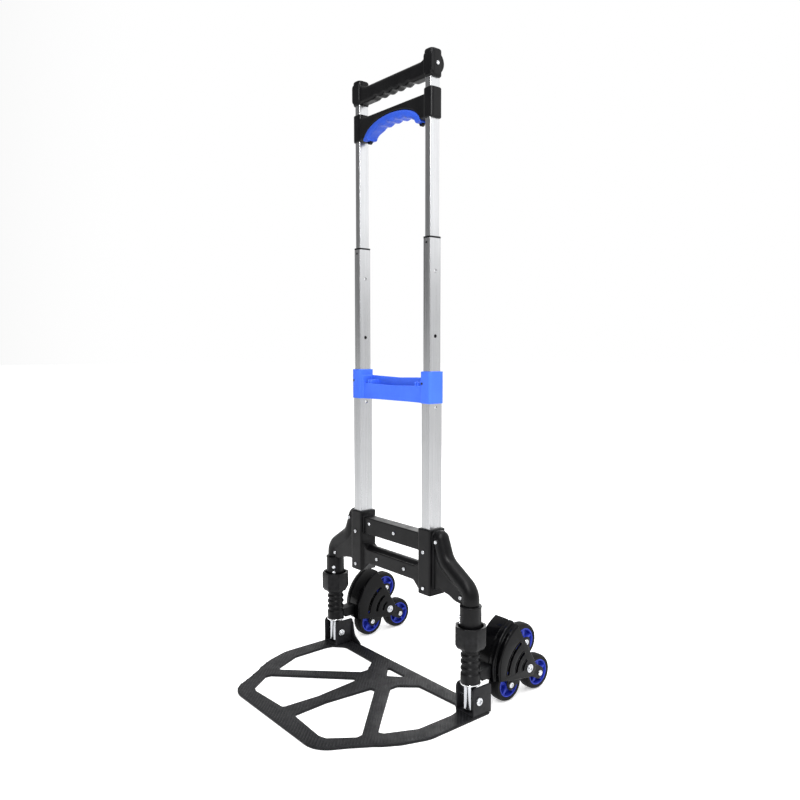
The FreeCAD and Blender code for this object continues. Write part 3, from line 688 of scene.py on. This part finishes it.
def around(centre, r, degrees):
    a = math.radians(degrees)
    return Vector((centre[0] + r * math.cos(a), centre[1] + r * math.sin(a)))


def arm_solid():
    bm = bmesh.new()
    # eight-sided ring: straight cup above, tapering in to the sleeve below
    hole = [around((LEG_X, 0), CUP_R, 7.5 * k) for k in range(48)]
    flats = [around((LEG_X, 0), RING_HALF / math.cos(math.pi / 8), 22.5 + 45 * k) for k in range(8)]
    outline = corner(flats, 3.0, steps=4)
    slab(bm, outline, "xy", 132.5, RING_Z1, [hole], bevel=1.2, segments=3)
    steps = [(RING_Z0, 0.87), (RING_Z0 + 1.2, 0.90), (RING_Z0 + 6, 0.998), (133.5, 0.998)]
    rings = [[bm.verts.new((LEG_X + (p.x - LEG_X) * s, p.y * s, z)) for p in outline] for z, s in steps]
    skin(bm, rings)
    # ribbed sleeve
    profile, radii = [(11.1, 53.35), (16.0, 53.35), (16.0, 67.5)], [0, 0.8, 0.6]
    for k in range(4):
        z = 68.5 + 10.4 * k
        profile += [(13.8, z + 1), (13.8, z + 4.4), (15.8, z + 5.8), (15.8, z + 9.2)]
        radii += [0.4, 0.4, 0.5, 0.5]
    sleeve = rounded_profile(profile + [(15.0, 112), (11.1, 112)], radii + [0, 0], 3)
    lathe(bm, sleeve, (LEG_X, 0, 0), "z", 64)
    for k in range(4):
        for a in range(0, 360, 18):
            at = around((LEG_X, 0), 15.3, a)
            lathe(bm, rounded_profile([(0, -0.5), (0.7, -0.5), (0.7, 0.6), (0, 0.6)], [0, 0, 0.4, 0], 2),
                  (at.x, at.y, 76.2 + 10.4 * k), "z", 8)
    # arm back to the fender
    arm = corner([(8, 54.5), (17, 54.5), (18, 51.5), (38.5, 51.5), (41, 72), (30, 71), (8, 68)],
                 [0, 0, 0, 0, 0, 8, 0])
    slab(bm, arm, "yz", LEG_X - 10, LEG_X + 10, bevel=1.6, segments=3)
    return bm


def pie(r, apex_r):
    """Slice of a disc about FENDER_C whose point is rounded about the axle."""
    axle = Vector((AXLE_Y, AXLE_Z))
    a0, a1 = FENDER_ANGLES
    rim = [around(FENDER_C, r, a0 + (a1 - a0) * k / 32) for k in range(33)]

    def touch(p, side):
        """Bearing of the point where a line from p touches the round about the axle."""
        back = p - axle
        swing = math.degrees(math.acos(apex_r / back.length))
        return math.degrees(math.atan2(back.y, back.x)) + side * swing

    b0, b1 = touch(rim[-1], 1), touch(rim[0], -1)
    b0 -= 360 if b0 > 0 else 0
    return rim + [around(axle, apex_r, b0 + (b1 - b0) * k / 14) for k in range(15)]


def slot_loop(r, width, a0, a1):
    """Curved slot about the axle, its ends rounded."""
    axle, w = (AXLE_Y, AXLE_Z), width / 2
    outer = [around(axle, r + w, a0 + (a1 - a0) * k / 18) for k in range(19)]
    inner = [around(axle, r - w, a1 + (a0 - a1) * k / 18) for k in range(19)]
    caps_at = [[around(around(axle, r, a), w, a + turn) for turn in turns] for a, turns in
               ((a1, (45, 90, 135)), (a0, (225, 270, 315)))]
    return outer + caps_at[0] + inner + caps_at[1]


def fender_solid():
    bm = bmesh.new()
    slots = [slot_loop(*vent) for vent in VENTS]
    for r, low in ((FACE_R - 1.4, LEG_X + FACE_OUT - COVER_WALL), (FENDER_R - 2.4, LEG_X + BACK_OUT)):
        slab(bm, pie(r, APEX_R), "yz", low, low + COVER_WALL, slots, bevel=1.0, segments=3)
    # raised lip round every vent
    for r, width, a0, a1 in VENTS:
        lip = slot_loop(r, width + 2.4, a0 - 1.2, a1 + 1.2)
        slab(bm, lip, "yz", LEG_X + FACE_OUT - 1.2, LEG_X + FACE_OUT + 0.7, [slot_loop(r, width, a0, a1)],
             bevel=0.5, segments=3)
    # the curved band: a flange behind the face, a stepped shoulder, then the wide barrel over the wheels
    skin = [(FACE_R - 4.0, FACE_OUT), (FACE_R, FACE_OUT), (FACE_R, 15.0), (FENDER_R, 15.0), (FENDER_R, 5.6),
            (FENDER_R - 1.4, 5.6), (FENDER_R - 1.4, 3.4), (FENDER_R, 3.4), (FENDER_R, BACK_OUT),
            (FENDER_R - 4.0, BACK_OUT), (FENDER_R - 4.0, 11.5), (FACE_R - 4.0, 11.5)]
    radii = [0.5, 2.6, 1.4, 3.2, 0.8, 0.4, 0.4, 0.8, 3.2, 0.5, 0.5, 0.5]
    lathe(bm, rounded_profile(skin, radii, 5), (LEG_X, *FENDER_C), "x", 64, FENDER_ANGLES)
    return bm


def hub_centres():
    return [around((AXLE_Y, AXLE_Z), HUB_REACH, a) for a in (90, -30, 210)]


def spider_solid():
    bm = bmesh.new()
    points, radii = [], []
    for a in (90, 210, 330):
        for off, r in ((-58, 13.5), (-11.5, HUB_REACH + 8.6), (11.5, HUB_REACH + 8.6)):
            points.append(around((AXLE_Y, AXLE_Z), r, a + off))
            radii.append(6 if off == -58 else 7.5)
    outline = corner(points, radii, steps=6)
    holes = [[around(c, 3.05, 15 * k) for k in range(24)] for c in hub_centres()]
    holes.append([around((AXLE_Y, AXLE_Z), 4.1, 15 * k) for k in range(24)])
    for sign in (1, -1):
        low, high = sorted((LEG_X + sign * 12.0, LEG_X + sign * 14.5))
        slab(bm, outline, "yz", low, high, holes, bevel=0.4)
    lathe(bm, rounded_profile([(4.1, -19), (7, -19), (7, 19), (4.1, 19)], 0.4, 2),
          (LEG_X, AXLE_Y, AXLE_Z), "x", 32)
    return bm


WHEEL_R, RIM_R, TYRE_HALF, RIM_HALF = 29.3, 21.6, 11.0, 10.4


def tyre_solid(y, z):
    bm = bmesh.new()
    half = [(RIM_R, TYRE_HALF - 0.8), (RIM_R + 0.8, TYRE_HALF), (WHEEL_R - 2.4, TYRE_HALF),
            (WHEEL_R - 0.3, 6.5), (WHEEL_R, 0.5)]
    radii = [0, 0.5, 1.8, 3, 0]
    lathe(bm, rounded_profile(half + [(r, -x) for r, x in reversed(half)], radii + radii[::-1], 4),
          (LEG_X, y, z), "x", 72)
    return bm


def rim_solid(y, z):
    bm = bmesh.new()
    h = RIM_HALF
    ring = [(RIM_R, -h), (RIM_R, h), (19.6, h), (19.0, 2.0), (19.0, -2.0), (19.6, -h)]
    lathe(bm, rounded_profile(ring, [0, 0.5, 0.5, 0.3, 0.3, 0.5], 3), (LEG_X, y, z), "x", 60)
    hub = [(3.1, -h), (7.2, -h), (7.8, -2), (7.8, 2), (7.2, h), (3.1, h)]
    lathe(bm, rounded_profile(hub, [0.3, 0.6, 0.3, 0.3, 0.6, 0.3], 3), (LEG_X, y, z), "x", 40)
    lathe(bm, [(7.0, -2.0), (19.5, -2.0), (19.5, 2.0), (7.0, 2.0)], (LEG_X, y, z), "x", 60)
    spoke_outline = corner([(-2.6, 6.5), (2.6, 6.5), (1.9, 19.8), (-1.9, 19.8)], 0)
    for k in range(5):
        for sign in (1, -1):
            spoke = bmesh.new()
            low, high = sorted((sign * 1.5, sign * (h - 1.6)))
            slab(spoke, spoke_outline, "yz", low, high, bevel=0.7)
            spoke.transform(Matrix.Translation((LEG_X, y, z)) @ Matrix.Rotation(math.radians(72 * k), 4, "X"))
            bm.from_mesh(to_mesh(spoke))
    return bm


for name, side in SIDES:
    def fitted(bm):
        if side < 0:
            flip(bm)
        return bm
    arm_body, cluster = "wheel_arm_" + name, "cluster_" + name
    piece("arm_" + name, fitted(arm_solid()), "shell_black", arm_body, ["wheel_arm_" + name])
    piece("wheel_cover_" + name, fitted(fender_solid()), "gloss_black", arm_body, ["fender_" + name],
          angle=30)
    shaft = bmesh.new()
    lathe(shaft, [(0, BACK_OUT), (4.0, BACK_OUT), (4.0, FACE_OUT), (0, FACE_OUT)],
          (LEG_X, AXLE_Y, AXLE_Z), "x", 32)
    for face, sign in ((FACE_OUT, 1), (BACK_OUT, -1)):
        placed(shaft, HEX, (LEG_X + face + sign * 0.9, AXLE_Y, AXLE_Z), (sign, 0, 0), 20)
        lathe(shaft, rounded_profile([(0, 0), (7, 0), (7, sign * 1.2), (0, sign * 1.2)], [0, 0, 0.4, 0], 2),
              (LEG_X + face, AXLE_Y, AXLE_Z), "x", 36)
    piece("centre_bolt_" + name, fitted(shaft), "screw_zinc", arm_body, ["cluster_axle_" + name])
    piece("star_" + name, fitted(spider_solid()), "spider_black", cluster, ["spider_" + name])
    studs = bmesh.new()
    for k, c in enumerate(hub_centres()):
        lathe(studs, [(0, -14.8), (3.0, -14.8), (3.0, 14.8), (0, 14.8)], (LEG_X, c.x, c.y), "x", 24)
        for sign in (1, -1):
            placed(studs, HEX, (LEG_X + sign * 14.6, c.x, c.y), (sign, 0, 0), 50 * k)
        body, wheel = "wheel_%s_%d" % (name, k + 1), "%s_%d" % (name, k + 1)
        piece("tyre_" + wheel, fitted(tyre_solid(*c)), "tyre_black", body, ["wheel_tyre_" + wheel], angle=50)
        piece("rim_" + wheel, fitted(rim_solid(*c)), "blue_rim", body, ["wheel_rim_" + wheel])
    piece("wheel_studs_" + name, fitted(studs), "screw_zinc", cluster, ["wheel_bolts_" + name])

# ------------------------------------------------------------------ toe plate
PLATE_T = plate_box[1].z
HINGE_Y, HINGE_Z = -1.0, 28.0
EDGE = [(208, 28), (208, -103), (192, -147), (177, -172), (170, -180), (149, -212), (125, -255)]
EDGE_R = [8, 60, 60, 3, 3, 80, 45]
REAR = [(42, -46), (42, -31), (66, -3), (154, 0), (174, -17), (177, -31), (176, -99), (153, -148),
        (144, -153)]
FORE = [(17, -222), (13, -157), (21, -72), (30, -71), (135, -176), (136, -186), (109, -223), (96, -227)]


def mirrored(points):
    return [Vector((-p[0], p[1])) for p in reversed(points)]


plate_edge = corner(EDGE + [tuple(p) for p in mirrored(EDGE)], EDGE_R + EDGE_R[::-1], steps=8)
rear_gap = corner(REAR, [4, 6, 8, 14, 8, 20, 20, 5, 4])
front_gap = corner(FORE, [5, 20, 3, 3, 4, 4, 8, 6])
hub_gap = corner([(27, 3), (-27, 3), (0, -21)], 3)
gaps = [rear_gap, mirrored(rear_gap), front_gap, mirrored(front_gap), hub_gap]
RIB_PITCH, RIB_RISE, RIB_MARGIN, RIB_REACH = 4.9, 0.45, 2.2, 75
PLATE_CENTRE = Vector((0, -113))


def crossings(loop, origin, along, across):
    """Distances along a line where it crosses a closed outline."""
    hits = []
    for a, b in zip(loop, list(loop[1:]) + [loop[0]]):
        da, db = (Vector(a) - origin).dot(across), (Vector(b) - origin).dot(across)
        if (da < 0) != (db < 0):
            hits.append((Vector(a).lerp(Vector(b), da / (da - db)) - origin).dot(along))
    return hits


def ribs(bm, slant):
    """Low parallel ridges over the plate's upper face, stopping short of every edge."""
    along = Vector((-math.sin(slant), math.cos(slant)))
    across = Vector((along.y, -along.x))
    for k in range(-RIB_REACH, RIB_REACH + 1):
        origin = across * (RIB_PITCH * k) + PLATE_CENTRE
        ends = sorted(h for loop in [plate_edge] + gaps for h in crossings(loop, origin, along, across))
        for a, b in zip(ends[::2], ends[1::2]):
            if b - a < 2 * RIB_MARGIN + 2:
                continue
            a, b = a + RIB_MARGIN, b - RIB_MARGIN
            section = ((-1.3, -0.2), (-0.7, RIB_RISE), (0.7, RIB_RISE), (1.3, -0.2))
            loops = []
            for t, pull in ((a, 0.7), (b, -0.7)):
                loops.append([bm.verts.new((*(origin + along * (t + (pull if z > 0 else 0)) + across * w),
                                            PLATE_T + z)) for w, z in section])
            skin(bm, loops)


plate = bmesh.new()
slab(plate, plate_edge, "xy", 0.0, PLATE_T, gaps, bevel=0.9, segments=3)
ribs(plate, math.radians(45))
piece("plate", plate, "plate_black", "toe_plate", ["toe_plate"], angle=30)


CHEEK_IN, CHEEK_OUT = 16.7, 20.2


def bracket_solid():
    bm = bmesh.new()
    cheek = corner([(-13, 3.6), (27, 3.6), (27, 50), (-13, 50)], [0, 0, 4, 7], steps=6)
    for low, high in ((CHEEK_IN, CHEEK_OUT), (-CHEEK_OUT, -CHEEK_IN)):
        slab(bm, cheek, "yz", LEG_X + low, LEG_X + high, bevel=0.7, segments=3)
    slab(bm, rect(LEG_X - CHEEK_OUT, LEG_X + CHEEK_OUT, -12.8, 26.8, 0.5), "xy", 3.8, 6.0, bevel=0.5)
    x = LEG_X - CHEEK_OUT
    web = corner([(x + 0.5, 3.6), (x + 0.5, 44), (x - 2, 44), (x - 7, 18), (x - 26, 7), (x - 26, 3.6)],
                 [0, 0, 1.2, 14, 1.5, 0], steps=8)
    slab(bm, web, "xz", 24, 27.2, bevel=0.8, segments=3)
    return bm


hinge = bmesh.new()
lathe(hinge, [(0, -CHEEK_OUT), (3.0, -CHEEK_OUT), (3.0, CHEEK_OUT), (0, CHEEK_OUT)],
      (LEG_X, HINGE_Y, HINGE_Z), "x", 28)
for sign in (1, -1):
    placed(hinge, HINGE_HEAD, (LEG_X + sign * CHEEK_OUT, HINGE_Y, HINGE_Z), (sign, 0, 0), 15)
brackets = bracket_solid()
for bm in (brackets, hinge):
    mirror(bm)
piece("brackets", brackets, "bracket_black", "toe_plate", ["toe_bracket_right", "toe_bracket_left"])
piece("hinge_bolt_heads", hinge, "screw_zinc", "toe_plate", ["hinge_bolts"])

# ------------------------------------------------------------------ floor, light and camera
stage_mesh = bpy.data.meshes.new("floor")
ground = bmesh.new()
bmesh.ops.create_circle(ground, cap_ends=True, radius=30.0, segments=96)
ground.to_mesh(stage_mesh)
ground.free()
floor = bpy.data.objects.new("floor", stage_mesh)
floor.location.z = -0.0004
bpy.context.scene.collection.objects.link(floor)
pale = bpy.data.materials.new("pale_floor")
pale.use_nodes = True
for socket, value in (("Base Color", (0.93, 0.93, 0.93, 1)), ("Roughness", 0.6), ("Specular IOR Level", 0.0),
                      ("Emission Color", (1, 1, 1, 1)), ("Emission Strength", 0.42)):
    pale.node_tree.nodes["Principled BSDF"].inputs[socket].default_value = value
stage_mesh.materials.append(pale)

world = bpy.data.worlds.new("studio")
bpy.context.scene.world = world
world.use_nodes = True
sky, sky_links = world.node_tree.nodes, world.node_tree.links
direction = sky.new("ShaderNodeTexCoord").outputs["Generated"]
split = sky.new("ShaderNodeSeparateXYZ")
sky_links.new(direction, split.inputs["Vector"])
fade = sky.new("ShaderNodeMapRange")
fade.interpolation_type = "SMOOTHSTEP"
for socket, value in (("From Min", -0.7), ("From Max", 0.35), ("To Min", 0.22), ("To Max", 1.0)):
    fade.inputs[socket].default_value = value
sky_links.new(split.outputs["Y"], fade.inputs["Value"])
sky_links.new(fade.outputs["Result"], sky["Background"].inputs["Color"])
sky["Background"].inputs["Strength"].default_value = 1.0


def area_light(name, at, toward, size, power):
    light = bpy.data.lights.new(name, "AREA")
    light.shape, light.size, light.size_y, light.energy = "RECTANGLE", size[0], size[1], power
    obj = bpy.data.objects.new(name, light)
    obj.location = at
    obj.rotation_mode = "QUATERNION"
    obj.rotation_quaternion = (Vector(toward) - Vector(at)).to_track_quat("-Z", "Y")
    bpy.context.scene.collection.objects.link(obj)


area_light("key", (1.9, -1.9, 2.4), (0, 0, 0.3), (0.9, 0.9), 26)
area_light("rim", (-1.6, 1.8, 1.7), (0, 0, 0.3), (0.8, 1.4), 14)
area_light("top", (0.3, 0.2, 3.2), (0, 0, 0.0), (2.4, 2.4), 34)
area_light("side", (1.25, 1.05, 1.35), (0, 0, 0.85), (1.3, 0.9), 4.0)
area_light("streak", (0.69, -0.57, 1.26), (0.19, 0.1, 0.1), (0.08, 0.9), 12)

camera_data = bpy.data.cameras.new("camera")
camera_data.sensor_width, camera_data.lens = 36.0, 33.69
camera = bpy.data.objects.new("camera", camera_data)
bpy.context.scene.collection.objects.link(camera)
AZIMUTH, PITCH, ROLL = math.radians(50.43), math.radians(3.89), math.radians(-0.05)
DISTANCE, SHIFT, HEIGHT = 1.30608, 0.00407, 0.58085
back = Vector((math.sin(AZIMUTH), -math.cos(AZIMUTH), 0))
right = Vector((math.cos(AZIMUTH), math.sin(AZIMUTH), 0))
camera.location = back * DISTANCE + right * SHIFT + Vector((0, LEG_Y * MM + 0.005, HEIGHT))
look = -back * math.cos(PITCH) - Vector((0, 0, math.sin(PITCH)))
camera.rotation_mode = "QUATERNION"
camera.rotation_quaternion = look.to_track_quat("-Z", "Y") @ Matrix.Rotation(ROLL, 3, "Z").to_quaternion()
bpy.context.scene.camera = camera
bpy.context.scene.view_settings.view_transform = "Standard"
